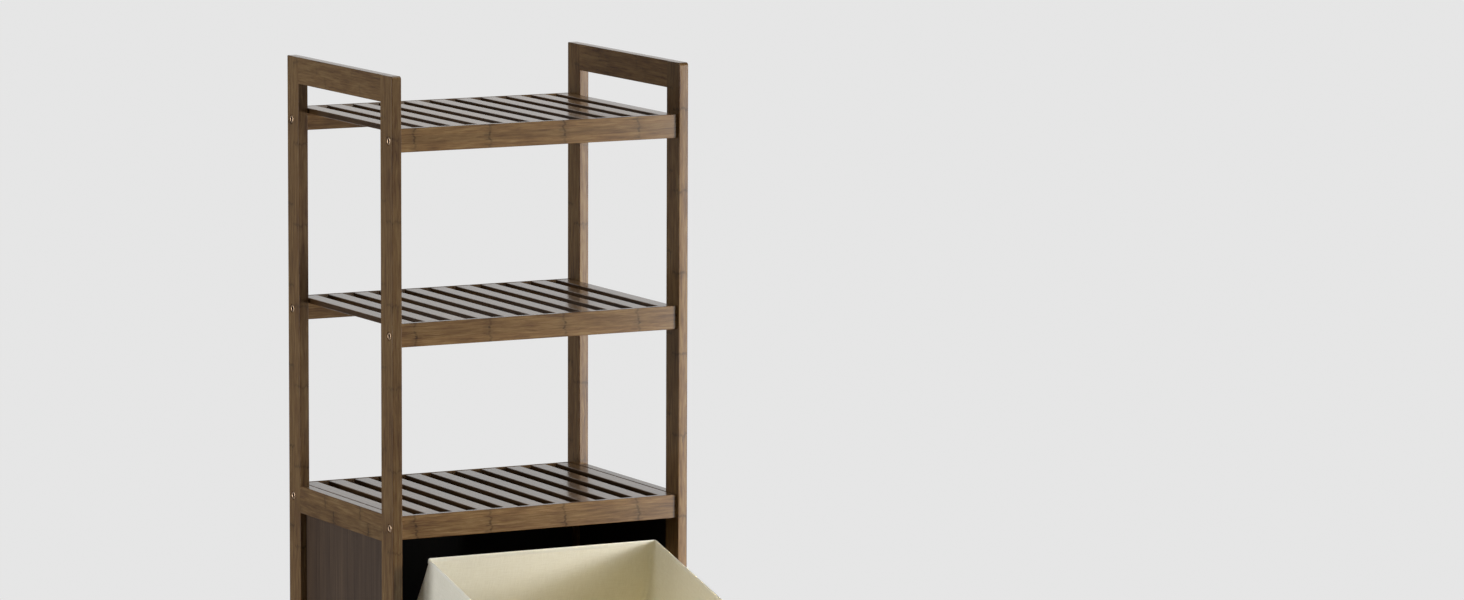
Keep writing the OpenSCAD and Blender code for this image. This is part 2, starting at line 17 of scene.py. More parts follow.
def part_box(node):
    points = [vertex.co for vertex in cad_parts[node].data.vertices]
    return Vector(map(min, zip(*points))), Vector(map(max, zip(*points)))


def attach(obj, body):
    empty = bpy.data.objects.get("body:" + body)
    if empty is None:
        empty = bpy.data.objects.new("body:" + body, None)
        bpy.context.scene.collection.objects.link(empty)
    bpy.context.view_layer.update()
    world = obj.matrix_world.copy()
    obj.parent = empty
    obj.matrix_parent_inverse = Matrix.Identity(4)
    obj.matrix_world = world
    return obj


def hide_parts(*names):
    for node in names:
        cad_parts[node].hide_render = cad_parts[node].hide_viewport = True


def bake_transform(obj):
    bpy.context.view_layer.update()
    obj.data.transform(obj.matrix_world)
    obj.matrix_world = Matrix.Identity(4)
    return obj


MM = 0.001
dice = random.Random(4)
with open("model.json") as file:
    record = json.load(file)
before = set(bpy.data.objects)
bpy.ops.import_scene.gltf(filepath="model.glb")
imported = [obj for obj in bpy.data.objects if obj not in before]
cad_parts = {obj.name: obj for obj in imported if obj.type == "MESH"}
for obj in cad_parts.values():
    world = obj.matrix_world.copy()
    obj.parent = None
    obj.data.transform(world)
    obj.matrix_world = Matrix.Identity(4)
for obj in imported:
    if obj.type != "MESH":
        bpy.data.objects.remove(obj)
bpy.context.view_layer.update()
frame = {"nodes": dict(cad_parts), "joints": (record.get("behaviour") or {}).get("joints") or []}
scene = bpy.context.scene
scene.view_settings.view_transform = "Standard"

TILT = next(j for j in frame["joints"] if j["name"] == "hamper_tilt")
HINGE = Vector(TILT["pos_m"])
OPEN = -math.radians(TILT["range_deg"][0])
OPENING = Matrix.Translation(HINGE) @ Matrix.Rotation(OPEN, 4, "X") @ Matrix.Translation(-HINGE)
CLOSING = OPENING.inverted()


# ---------- camera, floor and light ----------

VIEW_AZIMUTH = 26.32        # degrees to the right of straight ahead
VIEW_DOWN = 7.80
VIEW_DISTANCE = 8.582
VIEW_TARGET = Vector((0.0639, 0.0, 0.9055))
FOCAL_LENGTH = 170.37
SHIFT = (0.1357, 0.0229)
BACKDROP = 0.79


def show(name, data):
    """A new object in the scene."""
    made = bpy.data.objects.new(name, data)
    scene.collection.objects.link(made)
    return made


def make_camera():
    data = bpy.data.cameras.new("camera")
    data.lens = FOCAL_LENGTH
    data.shift_x, data.shift_y = SHIFT
    data.clip_end = 60
    camera = show("camera", data)
    yaw, down = math.radians(VIEW_AZIMUTH), math.radians(VIEW_DOWN)
    ahead = Vector((math.sin(yaw) * math.cos(down), math.cos(yaw) * math.cos(down), -math.sin(down)))
    camera.location = VIEW_TARGET - ahead * VIEW_DISTANCE
    camera.rotation_euler = ahead.to_track_quat("-Z", "Y").to_euler()
    scene.camera = camera


def feed(tree, node, inputs):
    """Gives a shader node its inputs, each a value or another node's socket."""
    for key, value in inputs.items():
        if isinstance(value, bpy.types.NodeSocket):
            tree.links.new(value, node.inputs[key])
        else:
            node.inputs[key].default_value = value


def add_node(tree, kind, inputs=(), **settings):
    """A shader node with its settings and its inputs."""
    made = tree.nodes.new(kind)
    for key, value in settings.items():
        setattr(made, key, value)
    feed(tree, made, dict(inputs))
    return made


def maths(tree, operation, a, b=0.0, c=0.0):
    return add_node(tree, "ShaderNodeMath", {0: a, 1: b, 2: c}, operation=operation).outputs[0]


def separated(tree, vector):
    return add_node(tree, "ShaderNodeSeparateXYZ", {0: vector}).outputs


ROOM = 0.07                 # dark studio round the set
LOBE_AZIMUTH = 26           # the bright backdrop's middle, degrees to the right of straight ahead
LOBE_INNER, LOBE_OUTER = 27, 46


def make_world():
    """Pale backdrop as seen, but only its part behind the tower and a dark room light the set."""
    world = bpy.data.worlds.new("studio")
    scene.world = world
    world.use_nodes = True
    tree = world.node_tree
    tree.nodes.clear()
    coords = add_node(tree, "ShaderNodeTexCoord")
    azimuth = math.radians(LOBE_AZIMUTH)
    middle = (math.sin(azimuth), math.cos(azimuth), 0)
    facing = add_node(tree, "ShaderNodeVectorMath", {0: coords.outputs["Generated"], 1: middle},
                      operation="DOT_PRODUCT")
    glow = blend_range(tree, facing.outputs["Value"], math.cos(math.radians(LOBE_OUTER)),
                       math.cos(math.radians(LOBE_INNER)), ROOM, BACKDROP)
    path = add_node(tree, "ShaderNodeLightPath")
    level = add_node(tree, "ShaderNodeMix", {0: path.outputs["Is Camera Ray"], 2: glow, 3: BACKDROP})
    background = add_node(tree, "ShaderNodeBackground", {0: level.outputs[0]})
    add_node(tree, "ShaderNodeOutputWorld", {0: background.outputs[0]})


def area_light(name, where, target, size, power, colour=(1, 1, 1)):
    data = bpy.data.lights.new(name, "AREA")
    data.shape = "RECTANGLE"
    data.size, data.size_y = size
    data.energy = power
    data.color = colour
    lamp = show(name, data)
    lamp.location = where
    lamp.rotation_euler = (Vector(target) - Vector(where)).to_track_quat("-Z", "Y").to_euler()
    return lamp


def make_lights():
    key = area_light("key", (1.14, -1.08, 0.74), (0.1, -0.15, 0.7), (0.28, 0.28), 11.5, (0.99, 0.99, 1.0))
    key.visible_glossy = False
    area_light("front_card", (1.99, -2.27, 0.94), (0.1, 0, 0.9), (1.3, 1.86), 37)
    area_light("left_fill", (-2.0, 0.42, 1.05), (0, 0, 0.8), (0.7, 1.5), 17, (0.97, 0.99, 1.03))
    area_light("overhead", (0.2, -0.5, 3.6), (0, 0, 0.7), (1.6, 1.6), 20)
    warm = area_light("bag_warmth", (-0.35, -1.25, 1.42), (0.06, -0.27, 0.45), (0.2, 0.2), 0.33,
                      (1.0, 0.82, 0.42))
    warm.data.spread = math.radians(24)
    side = area_light("bag_side", (-1.9, -0.3, 1.5), (0.1, -0.25, 0.6), (0.4, 1.2), 6.0)
    for light in (warm, side):
        light.visible_glossy = False
    return warm, side


def shine_only_on(lights, pieces):
    """Accent lights that touch nothing but these pieces."""
    lit = bpy.data.collections.new("lit_by_accents")
    for piece in pieces:
        lit.objects.link(piece)
    for light in lights:
        light.light_linking.receiver_collection = lit


FLOOR_RADIUS = 2.2
FLOOR_SOLID = 0.9           # radius inside which it doesn't fade


def make_floor():
    """Pale round floor that fades into the backdrop and is clear from below."""
    material, tree, shader = new_material("floor", 0.7)
    coords = add_node(tree, "ShaderNodeTexCoord").outputs["Object"]
    far = add_node(tree, "ShaderNodeVectorMath", {0: coords}, operation="LENGTH").outputs["Value"]
    shown = blend_range(tree, far, FLOOR_SOLID, FLOOR_RADIUS, 1.0, 0.0)
    upper_side = maths(tree, "SUBTRACT", 1.0, add_node(tree, "ShaderNodeNewGeometry").outputs["Backfacing"])
    feed(tree, shader, {"Base Color": (0.74, 0.74, 0.74, 1),
                        "Alpha": maths(tree, "MULTIPLY", shown, upper_side)})
    bm = bmesh.new()
    bmesh.ops.create_circle(bm, cap_ends=True, cap_tris=True, segments=96, radius=FLOOR_RADIUS)
    mesh_object("floor", bm, [material])


# ---------- materials ----------

def new_material(name, roughness, metallic=0.0):
    material = bpy.data.materials.new(name)
    material.use_nodes = True
    shader = material.node_tree.nodes["Principled BSDF"]
    feed(material.node_tree, shader, {"Roughness": roughness, "Metallic": metallic})
    return material, material.node_tree, shader


def ramp(tree, factor, stops):
    made = add_node(tree, "ShaderNodeValToRGB", {0: factor})
    elements = made.color_ramp.elements
    while len(elements) < len(stops):
        elements.new(0.5)
    for element, (position, colour) in zip(elements, stops):
        element.position = position
        element.color = (*colour, 1)
    return made.outputs[0]


def attribute(tree, name):
    return add_node(tree, "ShaderNodeAttribute", attribute_name=name).outputs["Vector"]


def stretched_noise(tree, vector, scale, detail=4, roughness=0.6):
    spread = add_node(tree, "ShaderNodeVectorMath", {0: vector, 1: scale}, operation="MULTIPLY")
    made = add_node(tree, "ShaderNodeTexNoise",
                    {"Vector": spread.outputs[0], "Scale": 1.0, "Detail": detail, "Roughness": roughness})
    return made.outputs[0]


def scaled_colour(tree, colour, factor):
    made = add_node(tree, "ShaderNodeVectorMath", {0: colour, 3: factor}, operation="SCALE")
    return made.outputs[0]


def bump(tree, shader, height, distance, strength=1.0):
    made = add_node(tree, "ShaderNodeBump", {"Height": height, "Distance": distance, "Strength": strength})
    tree.links.new(made.outputs[0], shader.inputs["Normal"])


KNUCKLE_GAP = 0.1007        # between two growth nodes of a bamboo strip


def blend_range(tree, value, start, end, low=0.0, high=1.0):
    made = add_node(tree, "ShaderNodeMapRange", {0: value, 1: start, 2: end, 3: low, 4: high},
                    interpolation_type="SMOOTHSTEP")
    return made.outputs[0]


def bamboo(name, dark, middle, light):
    """Stained, lacquered bamboo. Attributes: grain is metres along, across and through the board;
    board is the strip coordinate, tone and seed; knots is the growth nodes' phase, their step
    from strip to strip, and how strongly they show."""
    material, tree, shader = new_material(name, 0.34)
    grain = attribute(tree, "grain")
    along = separated(tree, grain)[0]
    board = separated(tree, attribute(tree, "board"))
    knots = separated(tree, attribute(tree, "knots"))
    strip = maths(tree, "FLOOR", board[0])
    seed = add_node(tree, "ShaderNodeCombineXYZ", {0: strip, 1: board[2]})
    chance = add_node(tree, "ShaderNodeTexWhiteNoise", {"Vector": seed.outputs[0]}, noise_dimensions="3D")
    chances = separated(tree, chance.outputs["Color"])

    waver = maths(tree, "SUBTRACT", stretched_noise(tree, grain, (10, 210, 210), 2, 0.5), 0.5)
    wavy = maths(tree, "MULTIPLY_ADD", waver, 0.0105, along)
    phase = maths(tree, "MULTIPLY_ADD", strip, knots[1], knots[0])
    turn = maths(tree, "MULTIPLY_ADD", wavy, 1 / KNUCKLE_GAP, phase)
    away = maths(tree, "MULTIPLY", maths(tree, "SUBTRACT", maths(tree, "FRACT", turn), 0.5), KNUCKLE_GAP)
    apart = maths(tree, "ABSOLUTE", away)
    shown = maths(tree, "MULTIPLY", knots[2], maths(tree, "MULTIPLY_ADD", chances[1], 0.7, 0.45))
    broken = blend_range(tree, stretched_noise(tree, grain, (50, 300, 300), 2), 0.36, 0.52, 0.25)
    line = maths(tree, "MULTIPLY", blend_range(tree, apart, 0.0004, 0.0025, 1.0, 0.0),
                 maths(tree, "MULTIPLY", broken, shown))
    halo = maths(tree, "MULTIPLY", blend_range(tree, apart, 0.0, 0.011, 1.0, 0.0), shown)
    before = maths(tree, "ABSOLUTE", maths(tree, "ADD", away, 0.004))
    dashes = blend_range(tree, stretched_noise(tree, grain, (26, 360, 360), 2), 0.54, 0.66)
    dash = maths(tree, "MULTIPLY", blend_range(tree, before, 0.001, 0.006, 1.0, 0.0),
                 maths(tree, "MULTIPLY", dashes, shown))

    swell = maths(tree, "MULTIPLY", maths(tree, "MULTIPLY", halo, waver), 0.0045)
    lean = maths(tree, "SUBTRACT", stretched_noise(tree, grain, (34, 90, 90), 2), 0.5)
    sway = maths(tree, "MULTIPLY", lean, 0.0035)
    shift = maths(tree, "ADD", swell, sway)
    moved = add_node(tree, "ShaderNodeCombineXYZ", {1: shift, 2: shift})
    flow = add_node(tree, "ShaderNodeVectorMath", {0: grain, 1: moved.outputs[0]}).outputs[0]
    fibre = stretched_noise(tree, flow, (34, 640, 640), 4, 0.62)
    streak = stretched_noise(tree, flow, (24, 290, 290), 3, 0.55)
    cloud = stretched_noise(tree, grain, (9, 30, 30), 2)
    mixed = maths(tree, "MULTIPLY_ADD", fibre, 0.40, maths(tree, "MULTIPLY", streak, 0.42))
    mixed = maths(tree, "MULTIPLY_ADD", cloud, 0.18, mixed)
    colour = ramp(tree, mixed, ((0.36, dark), (0.5, middle), (0.64, light)))

    seam = maths(tree, "ABSOLUTE", maths(tree, "SUBTRACT", maths(tree, "FRACT", board[0]), 0.5))
    tone = maths(tree, "MULTIPLY", maths(tree, "MULTIPLY_ADD", chances[0], 0.20, 0.90), board[1])
    for mark, depth in ((line, -0.52), (dash, -0.40), (halo, -0.10),
                        (blend_range(tree, seam, 0.475, 0.5), -0.12)):
        tone = maths(tree, "MULTIPLY", tone, maths(tree, "MULTIPLY_ADD", mark, depth, 1.0))
    feed(tree, shader, {"Base Color": scaled_colour(tree, colour, tone),
                        "Roughness": maths(tree, "MULTIPLY_ADD", fibre, 0.16, 0.34),
                        "Specular IOR Level": 0.12, "Coat Weight": 0.72, "Coat Roughness": 0.15,
                        "Coat IOR": 1.5})
    bump(tree, shader, maths(tree, "MULTIPLY_ADD", line, -1.2, fibre), 0.0001, 0.5)
    material.diffuse_color = (*middle, 1)
    return material


DARK_STOPS = ((0.36, (0.048, 0.027, 0.017)), (0.5, (0.084, 0.051, 0.031)), (0.64, (0.137, 0.086, 0.050)))


def stained_board(name, level, coat):
    """Thin dark board with an upright grain, for the cabinet's panels."""
    material, tree, shader = new_material(name, 0.55)
    grain = attribute(tree, "grain")
    fibre = stretched_noise(tree, grain, (7, 520, 520), 4, 0.6)
    streak = stretched_noise(tree, grain, (5, 170, 170), 3, 0.55)
    mixed = maths(tree, "MULTIPLY_ADD", fibre, 0.55, maths(tree, "MULTIPLY", streak, 0.45))
    stops = [(position, [level * part for part in colour]) for position, colour in DARK_STOPS]
    feed(tree, shader, {"Base Color": ramp(tree, mixed, stops), "Specular IOR Level": 0.3,
                        "Coat Weight": coat, "Coat Roughness": 0.35})
    bump(tree, shader, fibre, 0.0001, 0.5)
    return material


THREAD = 0.00055            # distance between two threads of the bag's cloth


def woven(name, light, dark, thread, relief):
    """Plain weave on the cloth attribute: metres along the two threads."""
    material, tree, shader = new_material(name, 0.9)
    cloth = attribute(tree, "cloth")
    along = separated(tree, cloth)
    uneven = stretched_noise(tree, cloth, (310, 310, 310), 2)
    waves = []
    for axis in (0, 1):
        turn = maths(tree, "MULTIPLY_ADD", uneven, 1.1,
                     maths(tree, "MULTIPLY", along[axis], math.pi / thread))
        waves.append(maths(tree, "SINE", turn))
    checker = maths(tree, "MULTIPLY", *waves)
    slub = stretched_noise(tree, cloth, (900, 60, 400), 3)
    slub_across = stretched_noise(tree, cloth, (60, 900, 400), 3)
    threads = maths(tree, "ADD", maths(tree, "MULTIPLY", slub, 0.5),
                    maths(tree, "MULTIPLY", slub_across, 0.5))
    cloud = stretched_noise(tree, cloth, (9, 9, 9), 3)
    value = maths(tree, "MULTIPLY_ADD", checker, 0.08, threads)
    value = maths(tree, "ADD", value, maths(tree, "MULTIPLY_ADD", cloud, 0.25, -0.125))
    feed(tree, shader, {"Base Color": ramp(tree, value, ((0.25, dark), (0.62, light))),
                        "Sheen Weight": 0.15, "Sheen Roughness": 0.5, "Specular IOR Level": 0.2})
    bump(tree, shader, maths(tree, "MULTIPLY_ADD", checker, 0.5, threads), relief, 0.8)
    material.diffuse_color = (*light, 1)
    return material


def speckled(name, colour, roughness, metallic, fine_scale, broad_scale, dark, stops, uneven, relief):
    """Broad clouds between the colour and a darker one, with fine uneven gloss and relief."""
    material, tree, shader = new_material(name, roughness, metallic)
    coords = add_node(tree, "ShaderNodeTexCoord").outputs["Object"]
    fine = stretched_noise(tree, coords, (fine_scale,) * 3, 3)
    broad = stretched_noise(tree, coords, (broad_scale,) * 3, 3)
    darker = tuple(c * dark for c in colour)
    feed(tree, shader, {"Base Color": ramp(tree, broad, ((stops[0], darker), (stops[1], colour))),
                        "Roughness": maths(tree, "MULTIPLY_ADD", fine, uneven, roughness - uneven / 2)})
    bump(tree, shader, fine, *relief)
    material.diffuse_color = (*colour, 1)
    return material


def metal(name, colour, roughness):
    return speckled(name, colour, roughness, 1.0, 900, 90, 0.8, (0.35, 0.65), 0.08, (0.00002, 0.4))


def moulded(name, colour, roughness):
    return speckled(name, colour, roughness, 0.0, 1400, 60, 0.82, (0.3, 0.7), 0.16, (0.00003, 0.5))


BAMBOO = bamboo("walnut_bamboo", (0.115, 0.055, 0.022), (0.216, 0.119, 0.045), (0.313, 0.195, 0.081))
BAMBOO_EDGE = bamboo("walnut_bamboo_edge", (0.084, 0.035, 0.010), (0.161, 0.074, 0.020),
                     (0.233, 0.121, 0.038))
# Darker copy of the bamboo for the slats' sides: painted shade in the gaps between the slats.
BAMBOO_GAP_SHADE = bamboo("walnut_bamboo_gap_shade", (0.040, 0.017, 0.006), (0.075, 0.036, 0.012),
                     (0.110, 0.058, 0.022))
DARK_BOARD = stained_board("dark_board", 1.0, 0.2)
# Near-black, unlacquered copy of the panels' board for their faces inside the cabinet: painted shade.
PAINTED_SHADE_INSIDE = stained_board("dark_board_painted_shade", 0.06, 0.0)
CANVAS = woven("bag_fabric", (0.89, 0.86, 0.74), (0.77, 0.73, 0.60), THREAD, 0.0001)
HEM = woven("bag_hem", (0.91, 0.89, 0.79), (0.82, 0.79, 0.67), THREAD, 0.0001)
WEBBING = woven("webbing", (0.10, 0.07, 0.05), (0.045, 0.03, 0.022), 0.0016, 0.0005)
STITCH = woven("stitch_thread", (0.80, 0.76, 0.64), (0.60, 0.56, 0.45), 0.0005, 0.0001)
BRONZE = metal("bronze", (0.80, 0.56, 0.37), 0.40)
# Near-black bronze for the inside of the bolts' hexagon sockets: painted shade in the recess.
BOLT_SOCKET_SHADE = metal("bolt_socket_painted_shade", (0.13, 0.075, 0.045), 0.5)
ZINC = metal("zinc", (0.62, 0.63, 0.65), 0.28)
CASTER_METAL = metal("caster_zinc", (0.58, 0.59, 0.61), 0.24)
COATED_WIRE = moulded("coated_wire", (0.72, 0.69, 0.58), 0.45)
NYLON = moulded("nylon", (0.68, 0.66, 0.58), 0.45)
RUBBER = moulded("rubber_pad", (0.030, 0.030, 0.031), 0.75)
TREAD = moulded("wheel_tread", (0.085, 0.087, 0.092), 0.62)
HUB = moulded("wheel_hub", (0.33, 0.34, 0.35), 0.42)
PEDAL = moulded("pedal_plastic", (0.040, 0.041, 0.044), 0.48)


# ---------- mesh helpers ----------

def mesh_object(name, bm, materials=()):
    """Turns the bmesh into an object in the scene."""
    mesh = bpy.data.meshes.new(name)
    bm.to_mesh(mesh)
    bm.free()
    for material in materials:
        mesh.materials.append(material)
    return show(name, mesh)


def finish_mesh(name, bm, materials, smooth_angle=40, weighted=True):
    bm.normal_update()
    made = mesh_object(name, bm, materials)
    shade(made, smooth_angle, weighted)
    return made


def circle(radius, height, count):
    """Points of a circle round the z axis."""
    turns = [2 * math.pi * k / count for k in range(count)]
    return [Vector((radius * math.cos(turn), radius * math.sin(turn), height)) for turn in turns]


def skin(bm, rings, caps=True):
    """Faces between one ring of vertices and the next; a ring of one vertex is a tip. Returns the
    faces of each band."""
    bands = []
    for a, b in zip(rings, rings[1:]):
        count, band = max(len(a), len(b)), []
        for k in range(count):
            n = (k + 1) % count
            if len(a) == 1:
                corners = (a[0], b[k], b[n])
            elif len(b) == 1:
                corners = (a[k], a[n], b[0])
            else:
                corners = (a[k], a[n], b[n], b[k])
            band.append(bm.faces.new(corners))
        bands.append(band)
    if caps:
        for ring in (rings[0], rings[-1]):
            if len(ring) > 1:
                bm.faces.new(ring)
        bmesh.ops.recalc_face_normals(bm, faces=bm.faces)
    return bands


def store_cloth(made, values):
    """Metres along the two threads, which the weave reads."""
    stored = made.data.attributes.new("cloth", "FLOAT_VECTOR", "POINT")
    for index, value in enumerate(values):
        stored.data[index].vector = value


def shade(made, smooth_angle=40, weighted=True):
    made.data.shade_smooth()
    made.data.set_sharp_from_angle(angle=math.radians(smooth_angle))
    if weighted and "even_normals" not in made.modifiers:
        made.modifiers.new("even_normals", "WEIGHTED_NORMAL").keep_sharp = True


def place(made, body, nodes=(), turned=False):
    """Puts a piece on its body; a hamper piece made closed is turned to where the hamper stands."""
    if turned:
        made.data.transform(OPENING)
    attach(made, body)
    if nodes:
        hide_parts(*nodes)
    return made


def islands(node, closed=False):
    """Boxes of a node's separate solids, lowest corner and highest corner."""
    bm = bmesh.new()
    bm.from_mesh(frame["nodes"][node].data)
    bmesh.ops.remove_doubles(bm, verts=bm.verts, dist=1e-6)
    if closed:
        bm.transform(CLOSING)
    bm.verts.ensure_lookup_table()
    seen, boxes = set(), []
    for start in bm.verts:
        if start.index in seen:
            continue
        group, stack = [], [start]
        seen.add(start.index)
        while stack:
            vert = stack.pop()
            group.append(vert.co.copy())
            for edge in vert.link_edges:
                other = edge.other_vert(vert)
                if other.index not in seen:
                    seen.add(other.index)
                    stack.append(other)
        boxes.append(tuple(Vector(f(p[k] for p in group) for k in range(3)) for f in (min, max)))
    bm.free()
    return boxes


ATTRIBUTES = ("grain", "board", "knots")


def set_grain(made, axis, strips=2, tone=1.0, phase=None, stagger=0.76, knot=1.0, narrow=None,
              first=0, count=None):
    """Stores where each vertex lies along, across and through its board, and the board's looks.
    narrow is the tone of the board's two narrow faces, if theirs differs; on the posts that tone is painted
    light and shade."""
    seed = dice.random()
    phase = seed if phase is None else phase
    mesh = made.data
    grain, board, knots = (mesh.attributes.get(n) or mesh.attributes.new(n, "FLOAT_VECTOR", "POINT")
                           for n in ATTRIBUTES)
    last = len(mesh.vertices) if count is None else first + count
    points = [mesh.vertices[i].co for i in range(first, last)]
    low = [min(p[k] for p in points) for k in range(3)]
    high = [max(p[k] for p in points) for k in range(3)]
    wide, thin = sorted((k for k in range(3) if k != axis), key=lambda k: low[k] - high[k])
    middle = [(a + b) / 2 for a, b in zip(low, high)]
    half = (high[wide] - low[wide]) / 2
    for index, point in zip(range(first, last), points):
        across = point[wide] - middle[wide]
        grain.data[index].vector = (point[axis] - middle[axis], across + seed * 7.3,
                                    point[thin] - middle[thin] + seed * 3.1)
        at_narrow = narrow is not None and abs(across) > half - 0.1 * MM
        strip = (across / half + 1) / 2 * strips * 0.9999
        board.data[index].vector = (strip, narrow if at_narrow else tone, seed)
        knots.data[index].vector = (phase, stagger, knot)


EDGE_RADIUS = 0.8 * MM
EDGE_STEPS = 3


def add_board(bm, low, high, axis, radius=EDGE_RADIUS, ends=False):
    """A board with its long edges rounded, and its ends too if asked. Returns its vertex count."""
    before = len(bm.verts)
    size = high - low
    matrix = Matrix.Translation((low + high) / 2) @ Matrix.Diagonal((*size, 1))
    made = bmesh.ops.create_cube(bm, size=1, matrix=matrix)
    edges = {edge for vert in made["verts"] for edge in vert.link_edges}
    if not ends:
        edges = {e for e in edges if abs((e.verts[0].co - e.verts[1].co)[axis]) > size[axis] / 2}
    bmesh.ops.bevel(bm, geom=list(edges), offset=radius, segments=EDGE_STEPS, profile=0.5,
                    affect="EDGES", material=1, clamp_overlap=True)
    return len(bm.verts) - before


def extruded(name, outline, low_x, high_x, rounded, radius):
    """An outline in y and z made solid along x. rounded picks the edges to round."""
    bm = bmesh.new()
    face = bm.faces.new([bm.verts.new((low_x, y, z)) for y, z in outline])
    made = bmesh.ops.extrude_face_region(bm, geom=[face])
    moved = [v for v in made["geom"] if isinstance(v, bmesh.types.BMVert)]
    bmesh.ops.translate(bm, verts=moved, vec=(high_x - low_x, 0, 0))
    bmesh.ops.recalc_face_normals(bm, faces=bm.faces)
    edges = [e for e in bm.edges if rounded(e.verts[0].co, e.verts[1].co)]
    bmesh.ops.bevel(bm, geom=edges, offset=radius, segments=EDGE_STEPS, profile=0.5, affect="EDGES",
                    material=1, clamp_overlap=True)
    return finish_mesh(name, bm, (BAMBOO, BAMBOO_EDGE))


def make_board(name, axis, body, nodes, ends=False, closed=False, holes=(), trim=None,
               radius=EDGE_RADIUS, materials=(BAMBOO, BAMBOO_EDGE), slot="walnut_bamboo", **looks):
    """Rounded boards, one in the place of each solid of the nodes."""
    bm = bmesh.new()
    counts = []
    for low, high in islands(nodes[0], closed):
        if trim:
            low, high = trim(low, high)
        counts.append(add_board(bm, low, high, axis, radius, ends))
    made = finish_mesh(name, bm, materials)
    if holes:
        drill(made, holes)
        counts = [len(made.data.vertices)]
    first = 0
    for count in counts:
        tone = dice.uniform(0.93, 1.06) * looks.get("tone", 1.0)
        set_grain(made, axis, first=first, count=count, **{**looks, "tone": tone})
        first += count
    return place(made, body, nodes, turned=closed)


def drill(made, holes):
    """Cuts round holes: each is (centre on the face, direction inwards, [(depth, radius), ...])."""
    bm = bmesh.new()
    for centre, inwards, steps in holes:
        turn = inwards.to_track_quat("Z", "Y").to_matrix().to_4x4()
        skin(bm, [[bm.verts.new(centre + turn @ point) for point in circle(radius, depth, 32)]
                  for depth, radius in [(-1 * MM, steps[0][1]), *steps]])
    cutter = mesh_object("cutter", bm)
    cut = made.modifiers.new("holes", "BOOLEAN")
    cut.object = cutter
    cut.operation = "DIFFERENCE"
    cut.solver = "EXACT"
    bake_modifiers(made)
    bpy.data.objects.remove(cutter)
    shade(made)


def bake_modifiers(made):
    bpy.context.view_layer.update()
    evaluated = made.evaluated_get(bpy.context.evaluated_depsgraph_get())
    mesh = bpy.data.meshes.new_from_object(evaluated)
    made.modifiers.clear()
    made.data = mesh


def paint(node, material, smooth=None):
    """Gives a CAD node its finish."""
    made = frame["nodes"][node]
    made.data.materials.clear()
    made.data.materials.append(material)
    if smooth:
        shade(made, smooth, weighted=False)
    return made


# ---------- side frames ----------

COUNTERSINK = ((0.1 * MM, 5.6 * MM), (2.6 * MM, 4.6 * MM), (6 * MM, 3.25 * MM))
NUT_POCKET = ((9.4 * MM, 5.05 * MM),)
BOLTS = islands("frame_bolts")
NUTS = islands("barrel_nuts")
CORNER = {"front": 4 * MM, "rear": 1.5 * MM}    # top outer corners


def inside(point, low, high):
    """Whether a point is in a box, or at most a millimetre outside it."""
    return all(a - MM <= p <= b + MM for p, a, b in zip(point, low, high))


def outer_face(low, high):
    """Which way is outwards, to the left or the right, and the x of a box's face on that side."""
    return (1, high.x) if low.x + high.x > 0 else (-1, low.x)


def bolt_holes(low, high):
    """Countersinks on the outer face of the post with these corners."""
    outwards, face = outer_face(low, high)
    found = []
    for a, b in BOLTS:
        centre = Vector((face, (a.y + b.y) / 2, (a.z + b.z) / 2))
        if inside(centre, low, high):
            found.append((centre, Vector((-outwards, 0, 0)), COUNTERSINK))
    return found


def nut_holes(low, high):
    """Pockets of the barrel nuts, which open to the rear of the rail with these corners."""
    found = []
    for a, b in NUTS:
        centre = Vector(((a.x + b.x) / 2, high.y, (a.z + b.z) / 2))
        if inside(centre, low, high) and inside((a + b) / 2, low, high):
            found.append((centre, Vector((0, -1, 0)), NUT_POCKET))
    return found


POST_LOOKS = {
    "front_left_post": (0.95, 0.80, 0.30), "rear_left_post": (0.92, 0.75, 0.62),
    "front_right_post": (0.80, 1.25, 0.12), "rear_right_post": (0.94, 1.30, 0.81),
}                           # tone of the wide faces and of the narrow ones, and the knuckles' phase; the narrow faces' tone is painted light and shade, brighter on the right posts and darker on the left ones, as if lit from the right


def make_post(name):
    """Upright board whose outer top corner is rounded."""
    low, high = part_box(name)
    front = low.y + high.y < 0
    outer, inner = (low.y, high.y) if front else (high.y, low.y)
    way = 1 if front else -1
    corner = CORNER["front" if front else "rear"]
    outline = [(inner, low.z), (inner, high.z)]
    for step in range(9):
        angle = math.radians(90 + 90 * step / 8)
        outline.append((outer + way * corner * (1 + math.cos(angle)),
                        high.z - corner * (1 - math.sin(angle))))
    outline.append((outer, low.z))

    def rounded(a, b):
        return a.x == b.x and max(a.z, b.z) > low.z + 0.1 * MM
    post = extruded(name + "_board", outline, low.x, high.x, rounded, EDGE_RADIUS)
    drill(post, bolt_holes(low, high))
    # The narrow front and rear faces get painted light and shade through their own tone.
    tone, narrow, phase = POST_LOOKS[name]
    set_grain(post, 2, 2, tone, phase, narrow=narrow, knot=0.7)
    return place(post, "tower", [name])


RAIL_RADIUS = 0.5 * MM
SLAT_RADIUS = 1.2 * MM


